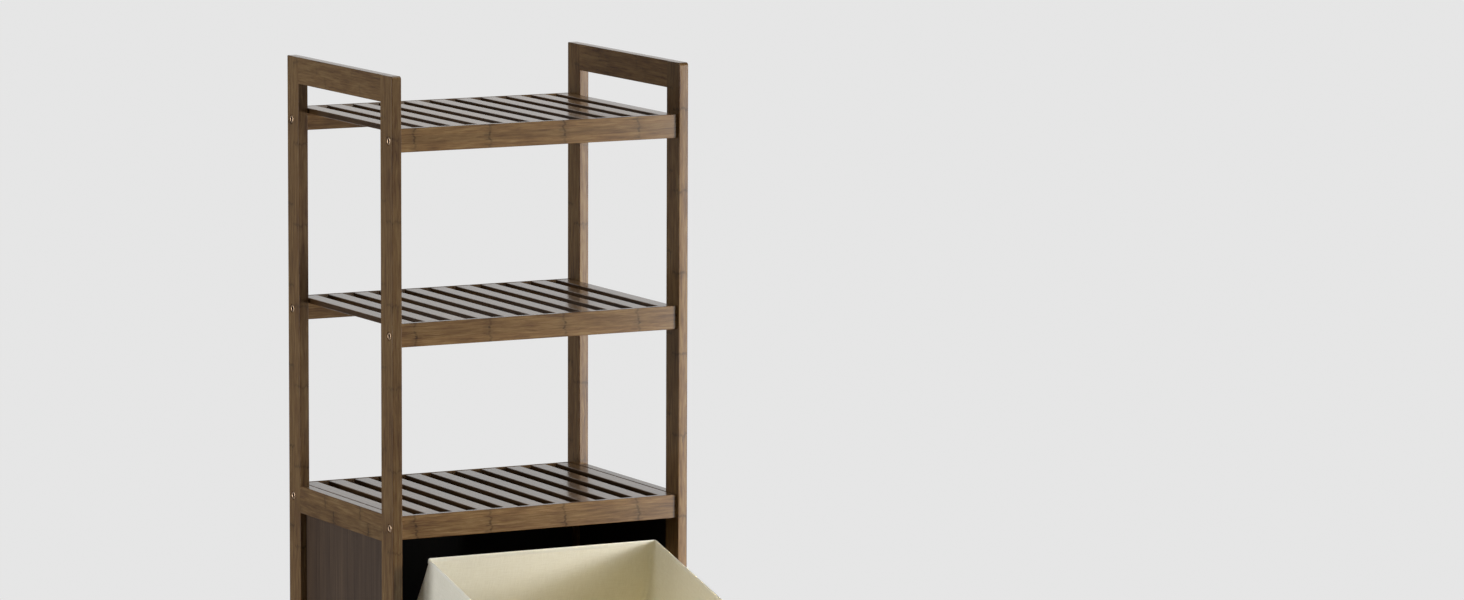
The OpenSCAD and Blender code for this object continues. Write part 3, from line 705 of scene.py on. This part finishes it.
def make_shelf_rail(shelf, side, phase):
    """Front or rear rail of a shelf, rebated on its inner top edge where the slats lie."""
    node = f"{shelf}_{side}_rail"
    low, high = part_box(node)
    slat_low, slat_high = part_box(shelf + "_slats")
    front = side == "front"
    outer, inner = (low.y, high.y) if front else (high.y, low.y)
    lip = slat_low.y - 0.2 * MM if front else slat_high.y + 0.2 * MM
    seat = slat_low.z
    outline = [(outer, low.z), (outer, high.z), (lip, high.z), (lip, seat), (inner, seat), (inner, low.z)]

    def rounded(a, b):
        return a.x != b.x and abs(a.y - lip) > 0.1 * MM
    rail = extruded(node + "_board", outline, low.x, high.x, rounded, RAIL_RADIUS)
    drill(rail, nut_holes(low, high))
    set_grain(rail, 0, 3, dice.uniform(0.97, 1.03), phase, stagger=0.01)
    return place(rail, "tower", [node])


def touching_lips(low, high):
    """A slat lengthened to meet the rails' lips."""
    return low - Vector((0, 0.2 * MM, 0)), high + Vector((0, 0.2 * MM, 0))


def paint_gap_shade(slats):
    """Sides of the slats, which face the gaps between them, get a darker copy of the bamboo: painted shade
    in the gaps.
    """
    slats.data.materials.append(BAMBOO_GAP_SHADE)
    for face in slats.data.polygons:
        if abs(face.normal.x) > 0.8:
            face.material_index = 2


def bolt_profile(length):
    """Countersunk head with a rounded rim and a hexagon socket, then the shank; (depth, radius)."""
    head = [(2.6, 0.0, 0), (2.6, 2.2, 1), (0.75, 2.2, 1), (0.5, 2.55, 1), (0.22, 3.1, 0), (0.12, 3.7, 0),
            (0.25, 4.3, 0), (0.7, 4.75, 0), (1.4, 4.8, 0), (2.6, 4.3, 0), (3.4, 3.0, 0)]
    return head + [(length / MM - 0.8, 3.0, 0), (length / MM, 2.3, 0), (length / MM, 0.0, 0)]


def make_bolts():
    """Joint connector bolts, heads set just under the posts' outer faces."""
    bm = bmesh.new()
    segments = 36
    for low, high in BOLTS:
        outwards, face = outer_face(low, high)
        centre = Vector((face, (low.y + high.y) / 2, (low.z + high.z) / 2))
        start = dice.uniform(0, 60)
        profile = bolt_profile(high.x - low.x)
        rings = []
        for depth, radius, hexagon in profile:
            ring = []
            for k in range(segments if radius else 1):
                angle = 360 * k / segments
                reach = radius / math.cos(math.radians(angle % 60 - 30)) if hexagon else radius
                turn = math.radians(angle + start)
                offset = Vector((-outwards * depth, reach * math.cos(turn), reach * math.sin(turn)))
                ring.append(bm.verts.new(centre + offset * MM))
            rings.append(ring)
        # The socket's walls and floor take the near-black bronze: painted shade in the recess.
        for band, (depth, radius, _) in zip(skin(bm, rings, caps=False), profile[1:]):
            for side in band:
                side.material_index = int(radius < 2.6 and depth < 3)
    bmesh.ops.recalc_face_normals(bm, faces=bm.faces)
    bolts = finish_mesh("frame_bolt_set", bm, (BRONZE, BOLT_SOCKET_SHADE), 40, weighted=False)
    place(bolts, "tower", ["frame_bolts"])


def without_tenons(low, high):
    """A side rail's board without its tenons; it fills the rounding of the posts it meets."""
    _, post_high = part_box("front_right_post")
    rear_low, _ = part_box("rear_right_post")
    return (Vector((low.x, post_high.y - EDGE_RADIUS, low.z)),
            Vector((high.x, rear_low.y + EDGE_RADIUS, high.z)))


def make_panel(node, axis, body="tower", painted_shade_side=None, **settings):
    """Thin board of the cabinet. Its faces towards the given side, inside the cabinet, get a near-black,
    unlacquered copy of the board: painted shade inside the cabinet.
    """
    sheet = make_board(node + "_sheet", axis, body, [node], materials=(DARK_BOARD, PAINTED_SHADE_INSIDE),
                       slot="dark_board", **settings)
    for face in sheet.data.polygons:
        inner = painted_shade_side is not None and face.normal.dot(Vector(painted_shade_side)) > 0.5
        face.material_index = 1 if inner else 0


def make_side_frames():
    for name in POST_LOOKS:
        make_post(name)
    for side in ("left", "right"):
        make_board(f"{side}_handle_rail_board", 1, "tower", [f"{side}_handle_rail"], trim=without_tenons,
                   tone=1.06 if side == "left" else 1.25, knot=0.4, phase=0.1)
        tone = 0.88 if side == "left" else 0.8
        for rail in ("upper_side_rail", "lower_side_rail"):
            make_board(f"{side}_{rail}_board", 1, "tower", [f"{side}_{rail}"], trim=without_tenons,
                       tone=tone, phase=0.3)
        make_panel(f"{side}_side_panel", 2, painted_shade_side=(1 if side == "left" else -1, 0, 0))
    make_panel("back_panel", 2, painted_shade_side=(0, -1, 0))
    make_panel("bottom_board", 0, painted_shade_side=(0, 0, 1))


FRONT_PHASE = 0.154         # puts the growth nodes of the front rails one above the other


def make_shelves():
    for shelf in ("top_shelf", "middle_shelf", "cabinet_top"):
        make_shelf_rail(shelf, "front", FRONT_PHASE)
        make_shelf_rail(shelf, "rear", FRONT_PHASE + 0.4)
        slats = make_board(shelf + "_slat_boards", 1, "tower", [shelf + "_slats"], strips=1, knot=0.5,
                           trim=touching_lips, radius=SLAT_RADIUS)
        paint_gap_shade(slats)
    for side in ("front", "rear"):
        node = f"bottom_{side}_rail"
        make_board(node + "_board", 0, "tower", [node], strips=3, stagger=0.02,
                   holes=nut_holes(*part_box(node)))
    make_board("caster_block_boards", 0, "tower", ["caster_blocks"])
    make_board("stop_cleat_boards", 2, "tower", ["stop_cleats"], strips=1, ends=True)
    make_bolts()
    paint("barrel_nuts", ZINC, smooth=35)
    paint("hinge_pins", ZINC, smooth=35)
    paint("bumper_pads", RUBBER, smooth=35)


# ---------- door ----------

def make_door():
    for side in ("left", "right"):
        node = f"{side}_door_stile"
        make_board(node + "_board", 2, "hamper", [node], closed=True, ends=True)
    for rail in ("top", "bottom"):
        node = f"door_{rail}_rail"
        make_board(node + "_board", 0, "hamper", [node], closed=True)
    make_panel("door_panel", 2, "hamper", closed=True)
    make_knob()
    paint("hinge_bushes", NYLON, smooth=35)


def lathe(name, profile, centre, direction, materials, segments=48):
    """A turned solid: profile is (distance along the axis, radius) from end to end."""
    bm = bmesh.new()
    turn = direction.to_track_quat("Z", "Y").to_matrix().to_4x4()
    skin(bm, [[bm.verts.new(centre + turn @ point) for point in circle(r, h, segments if r > 1e-6 else 1)]
              for h, r in profile])
    return finish_mesh(name, bm, materials, weighted=False)


def make_knob():
    low, high = islands("door_knob", closed=True)[0]
    centre = Vector(((low.x + high.x) / 2, high.y, (low.z + high.z) / 2))
    length, radius = high.y - low.y, (high.x - low.x) / 2
    profile = [(0, 0.0), (0, 0.60), (0.06, 0.63), (0.10, 0.60), (0.17, 0.47), (0.28, 0.42), (0.40, 0.47),
               (0.50, 0.72), (0.58, 0.92), (0.66, 0.99), (0.72, 1.0), (0.80, 0.96), (0.88, 0.82),
               (0.94, 0.60), (0.98, 0.32), (1.0, 0.0)]
    points = [(h * length, r * radius) for h, r in profile]
    knob = lathe("door_knob_turned", points, centre, Vector((0, -1, 0)), (BAMBOO_EDGE,))
    set_grain(knob, 1, 1, 0.95)
    place(knob, "hamper", ["door_knob"], turned=True)


# ---------- bag ----------

CLOTH_STEP = 10 * MM
CLOTH_THICK = 1.1 * MM
RIM_LOW, RIM_HIGH = (Vector(p) for p in islands("rim_wire", closed=True)[0])
WALL_OFFSET = 0.4 * MM
SEAM_SETTLE = 4.5 * MM      # how far the walls stand out below the rim
SETTLE_OVER = 70 * MM
RIM_SLOPE = math.tan(math.radians(11))      # rise of the side rims towards the door, closed


def rim_height(y):
    """Height of the rim wire's middle at depth y, closed."""
    return RIM_REAR_Z + (RIM_REAR_Y - y) * RIM_SLOPE


BAG_BASE_LOW, BAG_BASE_HIGH = islands("bag_base_panel", closed=True)[0]
WIRE_RADIUS = 1.5 * MM
RIM_HALF = RIM_HIGH.x - WIRE_RADIUS
RIM_REAR_Y = RIM_HIGH.y - WIRE_RADIUS
RIM_REAR_Z = RIM_LOW.z + WIRE_RADIUS
BAG_FRONT_Y = BAG_BASE_LOW.y + 0.8 * MM
BAG_BASE_Z = BAG_BASE_HIGH.z


def bag_point(u, v, t):
    """Point of the bag's wall: u across from -1 to 1, v from 0 at the door to 1 at the rear,
    t from 0 at the rim to 1 at the base."""
    y_rim = BAG_FRONT_Y + v * (RIM_REAR_Y - BAG_FRONT_Y)
    top = rim_height(y_rim) - WIRE_RADIUS * 0.4
    z = top + (BAG_BASE_Z - top) * t
    settle = min(1.0, (top - z) / SETTLE_OVER)
    settle = settle * settle * (3 - 2 * settle)
    half = RIM_HALF + WALL_OFFSET + settle * SEAM_SETTLE
    return Vector((u * half, y_rim + v * (WALL_OFFSET + settle * 1.5 * MM), z))


def make_bag_mesh():
    """Open-topped box of cloth in even squares. Returns the object, its rim loop, its corner
    loops and the vertices sewn to the door."""
    across = round(2 * RIM_HALF / CLOTH_STEP)
    deep = round((RIM_REAR_Y - BAG_FRONT_Y) / CLOTH_STEP)
    tall = round((RIM_REAR_Z - BAG_BASE_Z) / CLOTH_STEP)
    ring = [(-1 + 2 * i / across, 1.0) for i in range(across)]
    ring += [(1.0, 1 - j / deep) for j in range(deep)]
    ring += [(1 - 2 * i / across, 0.0) for i in range(across)]
    ring += [(-1.0, j / deep) for j in range(deep)]
    bm = bmesh.new()
    cloth = []
    rows = []
    for k in range(tall + 1):
        row = []
        for n, (u, v) in enumerate(ring):
            row.append(bm.verts.new(bag_point(u, v, k / tall)))
            cloth.append((n * CLOTH_STEP, k * CLOTH_STEP, 0))
        rows.append(row)
    for a, b in zip(rows, rows[1:]):
        for n in range(len(ring)):
            m = (n + 1) % len(ring)
            bm.faces.new((a[n], b[n], b[m], a[m]))
    edge = {(round((u + 1) / 2 * across), round(v * deep)): vert for (u, v), vert in zip(ring, rows[-1])}
    floor = {}
    for i in range(across + 1):
        for j in range(deep + 1):
            if (i, j) in edge:
                floor[i, j] = edge[i, j]
            else:
                floor[i, j] = bm.verts.new(bag_point(-1 + 2 * i / across, j / deep, 1.0))
                cloth.append((i * CLOTH_STEP, -j * CLOTH_STEP, 0))
    for i in range(across):
        for j in range(deep):
            bm.faces.new((floor[i, j], floor[i, j + 1], floor[i + 1, j + 1], floor[i + 1, j]))
    bm.verts.index_update()
    corners = [0, across, across + deep, 2 * across + deep]
    layout = {
        "rim": [v.index for v in rows[0]],
        "corners": [[row[c].index for row in rows] for c in corners],
        "door": [v.index for row in rows for n, v in enumerate(row) if ring[n][1] == 0.0],
        "base": [v.index for v in rows[-1]],
    }
    made = mesh_object("laundry_bag", bm)
    store_cloth(made, cloth)
    return made, layout


SIM_FRAMES = 24
MAX_SAG = 9 * MM


def settle_bag(bag, layout):
    """Hangs the open bag from its rim and from the door under gravity, and keeps the result."""
    rest = [v.co.copy() for v in bag.data.vertices]
    held = bag.vertex_groups.new(name="held")
    held.add(layout["rim"] + layout["door"], 1.0, "REPLACE")
    near = [index for column in layout["corners"] for index in column]
    held.add([i for i in near if i not in layout["rim"] and i not in layout["door"]], 0.85, "REPLACE")
    cloth = bag.modifiers.new("drape", "CLOTH")
    settings = cloth.settings
    settings.quality = 7
    settings.mass = 0.25
    settings.vertex_group_mass = "held"
    settings.pin_stiffness = 8
    settings.tension_stiffness = settings.compression_stiffness = 60
    settings.shear_stiffness = 25
    settings.bending_stiffness = 5
    settings.tension_damping = settings.compression_damping = 12
    settings.air_damping = 3
    settings.use_pressure = True
    settings.uniform_pressure_force = 0.15
    cloth.collision_settings.use_collision = False
    cloth.point_cache.frame_start, cloth.point_cache.frame_end = 1, SIM_FRAMES
    for number in range(1, SIM_FRAMES + 1):
        scene.frame_set(number)
    bake_modifiers(bag)
    scene.frame_set(1)
    for vert, start in zip(bag.data.vertices, rest):
        moved = vert.co - start
        if moved.length > MAX_SAG:
            vert.co = start + moved * (MAX_SAG / moved.length)


def crease(bag, layout):
    """Slack in the walls: soft shallow waves that fade out at the rim and the door."""
    rim = [bag.data.vertices[i].co.copy() for i in layout["rim"]]
    still = set(layout["rim"]) | set(layout["door"])
    normals = [v.normal.copy() for v in bag.data.vertices]
    for vert, normal in zip(bag.data.vertices, normals):
        if vert.index in still:
            continue
        near = min((vert.co - p).length for p in rim)
        fade = min(1.0, near / (120 * MM))
        wave = noise.noise(Vector((vert.co.x * 7, vert.co.y * 7, vert.co.z * 3.2)))
        ripple = noise.noise(Vector((vert.co.x * 19, vert.co.y * 19, vert.co.z * 9)) + Vector((5, 1, 2)))
        vert.co += normal * fade * (wave * 3.2 + ripple * 1.0) * MM


def cloth_strip(name, bm, rings, cloth, material, smooth_angle):
    """Skins the rings and stores where each vertex lies on the cloth."""
    skin(bm, rings)
    made = finish_mesh(name, bm, (material,), smooth_angle, weighted=False)
    store_cloth(made, cloth)
    return made


STITCH_LENGTH = 2.4 * MM
STITCH_GAP = 1.5 * MM
STITCH_THICK = 0.5 * MM
STITCH_SIDES = 5


def thread(path, outward):
    """One stitch's thread along a path of points."""
    bm = bmesh.new()
    rings, cloth, run = [], [], 0.0
    for index, point in enumerate(path):
        after = path[min(index + 1, len(path) - 1)]
        before = path[max(index - 1, 0)]
        ahead = (after - before).normalized()
        side = ahead.cross(outward).normalized()
        up = side.cross(ahead).normalized()
        if index:
            run += (point - before).length
        ring = []
        for k in range(STITCH_SIDES):
            angle = 2 * math.pi * k / STITCH_SIDES
            offset = side * (STITCH_THICK / 2 * math.cos(angle)) + up * (STITCH_THICK / 2 * math.sin(angle))
            ring.append(bm.verts.new(point + offset))
            cloth.append((run, k * STITCH_THICK / 3, 0))
        rings.append(ring)
    return cloth_strip("stitch", bm, rings, cloth, STITCH, 70)


def join(name, parts):
    """Joins separate meshes into one piece."""
    bm = bmesh.new()
    materials = []
    for part in parts:
        for material in part.data.materials:
            if material not in materials:
                materials.append(material)
        bm.from_mesh(part.data)
        bpy.data.objects.remove(part)
    made = mesh_object(name, bm, materials)
    shade(made, 70, weighted=False)
    return made


def resampled(points, step):
    """Points a fixed distance apart along a line."""
    lengths = [0.0]
    for a, b in zip(points, points[1:]):
        lengths.append(lengths[-1] + (b - a).length)
    made, k = [], 0
    for n in range(int(lengths[-1] / step) + 1):
        at = n * step
        while k < len(points) - 2 and lengths[k + 1] < at:
            k += 1
        share = (at - lengths[k]) / max(lengths[k + 1] - lengths[k], 1e-9)
        made.append(points[k].lerp(points[k + 1], share))
    return made


def stitches(line, outward):
    """A row of short threads lying on the cloth."""
    parts = []
    points = resampled(line, STITCH_LENGTH + STITCH_GAP)
    for a, b in zip(points, points[1:]):
        ahead = (b - a).normalized()
        lift = outward * STITCH_THICK * 0.4
        path = [a - lift * 0.6, a + ahead * STITCH_LENGTH * 0.25 + lift,
                a + ahead * STITCH_LENGTH * 0.75 + lift, a + ahead * STITCH_LENGTH - lift * 0.6]
        parts.append(thread(path, outward))
    return join("stitch_row", parts)


HEM_PROFILE = ((-0.5, -4.5), (-0.75, -2.5), (-0.95, -0.6), (-0.9, 0.4), (-0.6, 1.15), (0.0, 1.5),
               (0.6, 1.15), (0.9, 0.4), (0.95, -0.6), (0.75, -2.5), (0.5, -4.5))


def swept(name, path, profile, material):
    """A closed profile (sideways and upwards, mm) swept along (point, side, up) frames."""
    bm = bmesh.new()
    rings, cloth, run = [], [], 0.0
    for index, (point, side, up) in enumerate(path):
        if index:
            run += (point - path[index - 1][0]).length
        rings.append([bm.verts.new(point + (side * a + up * b) * MM) for a, b in profile])
        cloth += [(run, b * MM, a * MM) for a, b in profile]
    return cloth_strip(name, bm, rings, cloth, material, 50)


CORNER_ROUND = 2.5 * MM


def rim_path():
    """Frames along the rim wire, closed position: left side, rear, right side."""
    front = BAG_FRONT_Y + 10 * MM
    outline = [(-RIM_HALF, front)]
    for sign in (-1, 1):
        for step in range(7)[::-sign]:
            bend = math.radians(90 * step / 6)
            x = sign * (RIM_HALF - CORNER_ROUND + CORNER_ROUND * math.cos(bend))
            outline.append((x, RIM_REAR_Y - CORNER_ROUND + CORNER_ROUND * math.sin(bend)))
    outline.append((RIM_HALF, front))
    points = []
    for (x0, y0), (x1, y1) in zip(outline, outline[1:]):
        length = math.hypot(x1 - x0, y1 - y0)
        steps = max(1, round(length / (8 * MM)))
        points += [(x0 + (x1 - x0) * k / steps, y0 + (y1 - y0) * k / steps) for k in range(steps)]
    points.append(outline[-1])
    frames = []
    for index, (x, y) in enumerate(points):
        x0, y0 = points[max(index - 1, 0)]
        x1, y1 = points[min(index + 1, len(points) - 1)]
        ahead = Vector((x1 - x0, y1 - y0, rim_height(y1) - rim_height(y0))).normalized()
        side = Vector((ahead.y, -ahead.x, 0)).normalized()
        frames.append((Vector((x, y, rim_height(y))), side, side.cross(ahead)))
    return frames


BAG_PANELS = [f"bag_{side}_panel" for side in ("back", "front", "left", "right", "base")]
PANEL_THICK = 2.5 * MM      # cloth of the CAD panels


def bag_cut():
    """Size and area of the cloth before sewing, from the CAD panels alone: the four walls side by
    side in one strip, and the base below the front wall."""
    area = 0.0
    for node in BAG_PANELS:
        bm = bmesh.new()
        bm.from_mesh(frame["nodes"][node].data)
        area += bm.calc_volume() / PANEL_THICK
        bm.free()
    sizes = [b - a for a, b in (islands(node, closed=True)[0] for node in BAG_PANELS)]
    base = sizes[-1]
    tallest = max(size.z for size in sizes)
    return (round(2 * (base.x + base.y), 3), round(tallest + base.y, 3)), round(area, 4)


def make_bag():
    bag, layout = make_bag_mesh()
    bag.data.transform(OPENING)
    settle_bag(bag, layout)
    crease(bag, layout)
    bag.data.materials.clear()
    bag.data.materials.append(CANVAS)
    thicken = bag.modifiers.new("thickness", "SOLIDIFY")
    thicken.thickness = CLOTH_THICK
    thicken.offset = 0
    bake_modifiers(bag)
    finer = bag.modifiers.new("finer", "SUBSURF")
    finer.levels = finer.render_levels = 1
    bag.data.shade_smooth()

    hem = swept("bag_hem", rim_path(), HEM_PROFILE, HEM)
    place(hem, "hamper", ["rim_wire"], turned=True)

    place(bag, "hamper", BAG_PANELS)
    cut_size, cut_area = bag_cut()
    paint("rim_sockets", COATED_WIRE, smooth=35)
    return bag, hem


# ---------- check straps ----------

STRAP_PROFILE = ((-0.75, -8.5), (-0.45, -9.0), (0.45, -9.0), (0.75, -8.5),
                 (0.75, 8.5), (0.45, 9.0), (-0.45, 9.0), (-0.75, 8.5))
STRAP_HALF = 0.75 * MM
STRAP_SEAM = (((7, -6.5), (25, -6.5)), ((7, 6.5), (25, 6.5)), ((7, -6.5), (7, 6.5)),
              ((25, -6.5), (25, 6.5)))  # sewn lines at the cleat: along and across the strap, mm
SCREW_DOME = ((-0.2, 0.0), (-0.2, 3.5), (0.3, 3.6), (1.0, 3.0), (1.5, 1.8), (1.7, 0.0))


def strap_ends(node):
    """Where the webbing's middle line starts on the cleat and where its tab lies on the open door."""
    points = [v.co.copy() for v in frame["nodes"][node].data.vertices]
    closed = [CLOSING @ p for p in points]
    back = min(p.y for p in closed)
    tab = [p for p in closed if p.y < back + 0.1 * MM]
    height = (min(p.z for p in tab) + max(p.z for p in tab)) / 2
    outer = max((p.x for p in points), key=abs)
    x = outer - math.copysign(STRAP_HALF, outer)
    inner = min((p.x for p in tab), key=abs)
    far = OPENING @ Vector((x, back + STRAP_HALF, height))
    run = (max(points, key=lambda p: (p - far).length) - far)
    run.x = 0
    ranked = sorted(points, key=lambda p: -(p - far).dot(run))
    start = sum(ranked[:4], Vector()) / 4
    return Vector((x, start.y, start.z)), far, OPENING @ Vector((inner, back + STRAP_HALF, height))


def make_strap(side):
    """Webbing from the cabinet's cleat to the back of the door, sewn at the cleat and screwed at both ends.
    """
    node = f"{side}_check_strap"
    start, far, tip = strap_ends(node)
    across = Vector((1, 0, 0))
    down = (far - start).normalized()
    width = across.cross(down)
    top = start - down * (4 * MM)
    sag = [top.lerp(far, k / 14) + across * math.copysign(0.25 * MM, -start.x) * math.sin(math.pi * k / 14)
           for k in range(15)]
    band = swept(node + "_band", [(p, across, width) for p in sag], STRAP_PROFILE, WEBBING)
    door_out = OPENING.to_3x3() @ Vector((0, 1, 0))
    door_up = OPENING.to_3x3() @ Vector((0, 0, 1))
    tab = swept(node + "_tab", [(far + (tip - far) * k / 4, door_out, door_up) for k in range(5)],
                STRAP_PROFILE, WEBBING)
    inner_face = across * math.copysign(STRAP_HALF, -start.x)
    inwards = inner_face.normalized()
    rows = []
    for ends in STRAP_SEAM:
        line = [start + down * (along * MM) + width * offset * MM + inner_face for along, offset in ends]
        rows.append(stitches(line, inwards))
    strap = join(node + "_webbing", [band, tab] + rows)
    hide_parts(node)
    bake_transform(strap)
    points = [(h * MM, r * MM) for h, r in SCREW_DOME]
    for name, body, centre, facing in (
            ("cleat", "tower", start + down * 0.5 * MM + inner_face, inwards),
            ("door", "hamper", far.lerp(tip, 0.55) + door_out * STRAP_HALF, door_out)):
        screw = lathe(f"{node}_{name}_screw", points, centre, facing, (ZINC,), 28)
        place(screw, body)


# ---------- casters ----------

def make_casters():
    paint("caster_plates", CASTER_METAL, smooth=35)
    paint("caster_screws", ZINC, smooth=35)
    for end in ("front", "rear"):
        for side in ("left", "right"):
            paint(f"{end}_{side}_fork", CASTER_METAL, smooth=35)
            wheel = paint(f"{end}_{side}_wheel", TREAD, smooth=35)
            two_tone(wheel)
    for side in ("left", "right"):
        paint(f"{side}_brake_pedal", PEDAL, smooth=35)


def two_tone(wheel):
    """Lighter hub inside the tread, split at a radius."""
    low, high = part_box(wheel.name)
    centre = (low + high) / 2
    radius = (high.z - low.z) / 2
    wheel.data.materials.append(HUB)
    for face in wheel.data.polygons:
        middle = face.center - centre
        if math.hypot(middle.y, middle.z) < radius * 0.76:
            face.material_index = 1


make_camera()
make_world()
bag_lights = make_lights()
make_floor()
make_side_frames()
make_shelves()
make_door()
shine_only_on(bag_lights, make_bag())
for each in ("left", "right"):
    make_strap(each)
make_casters()
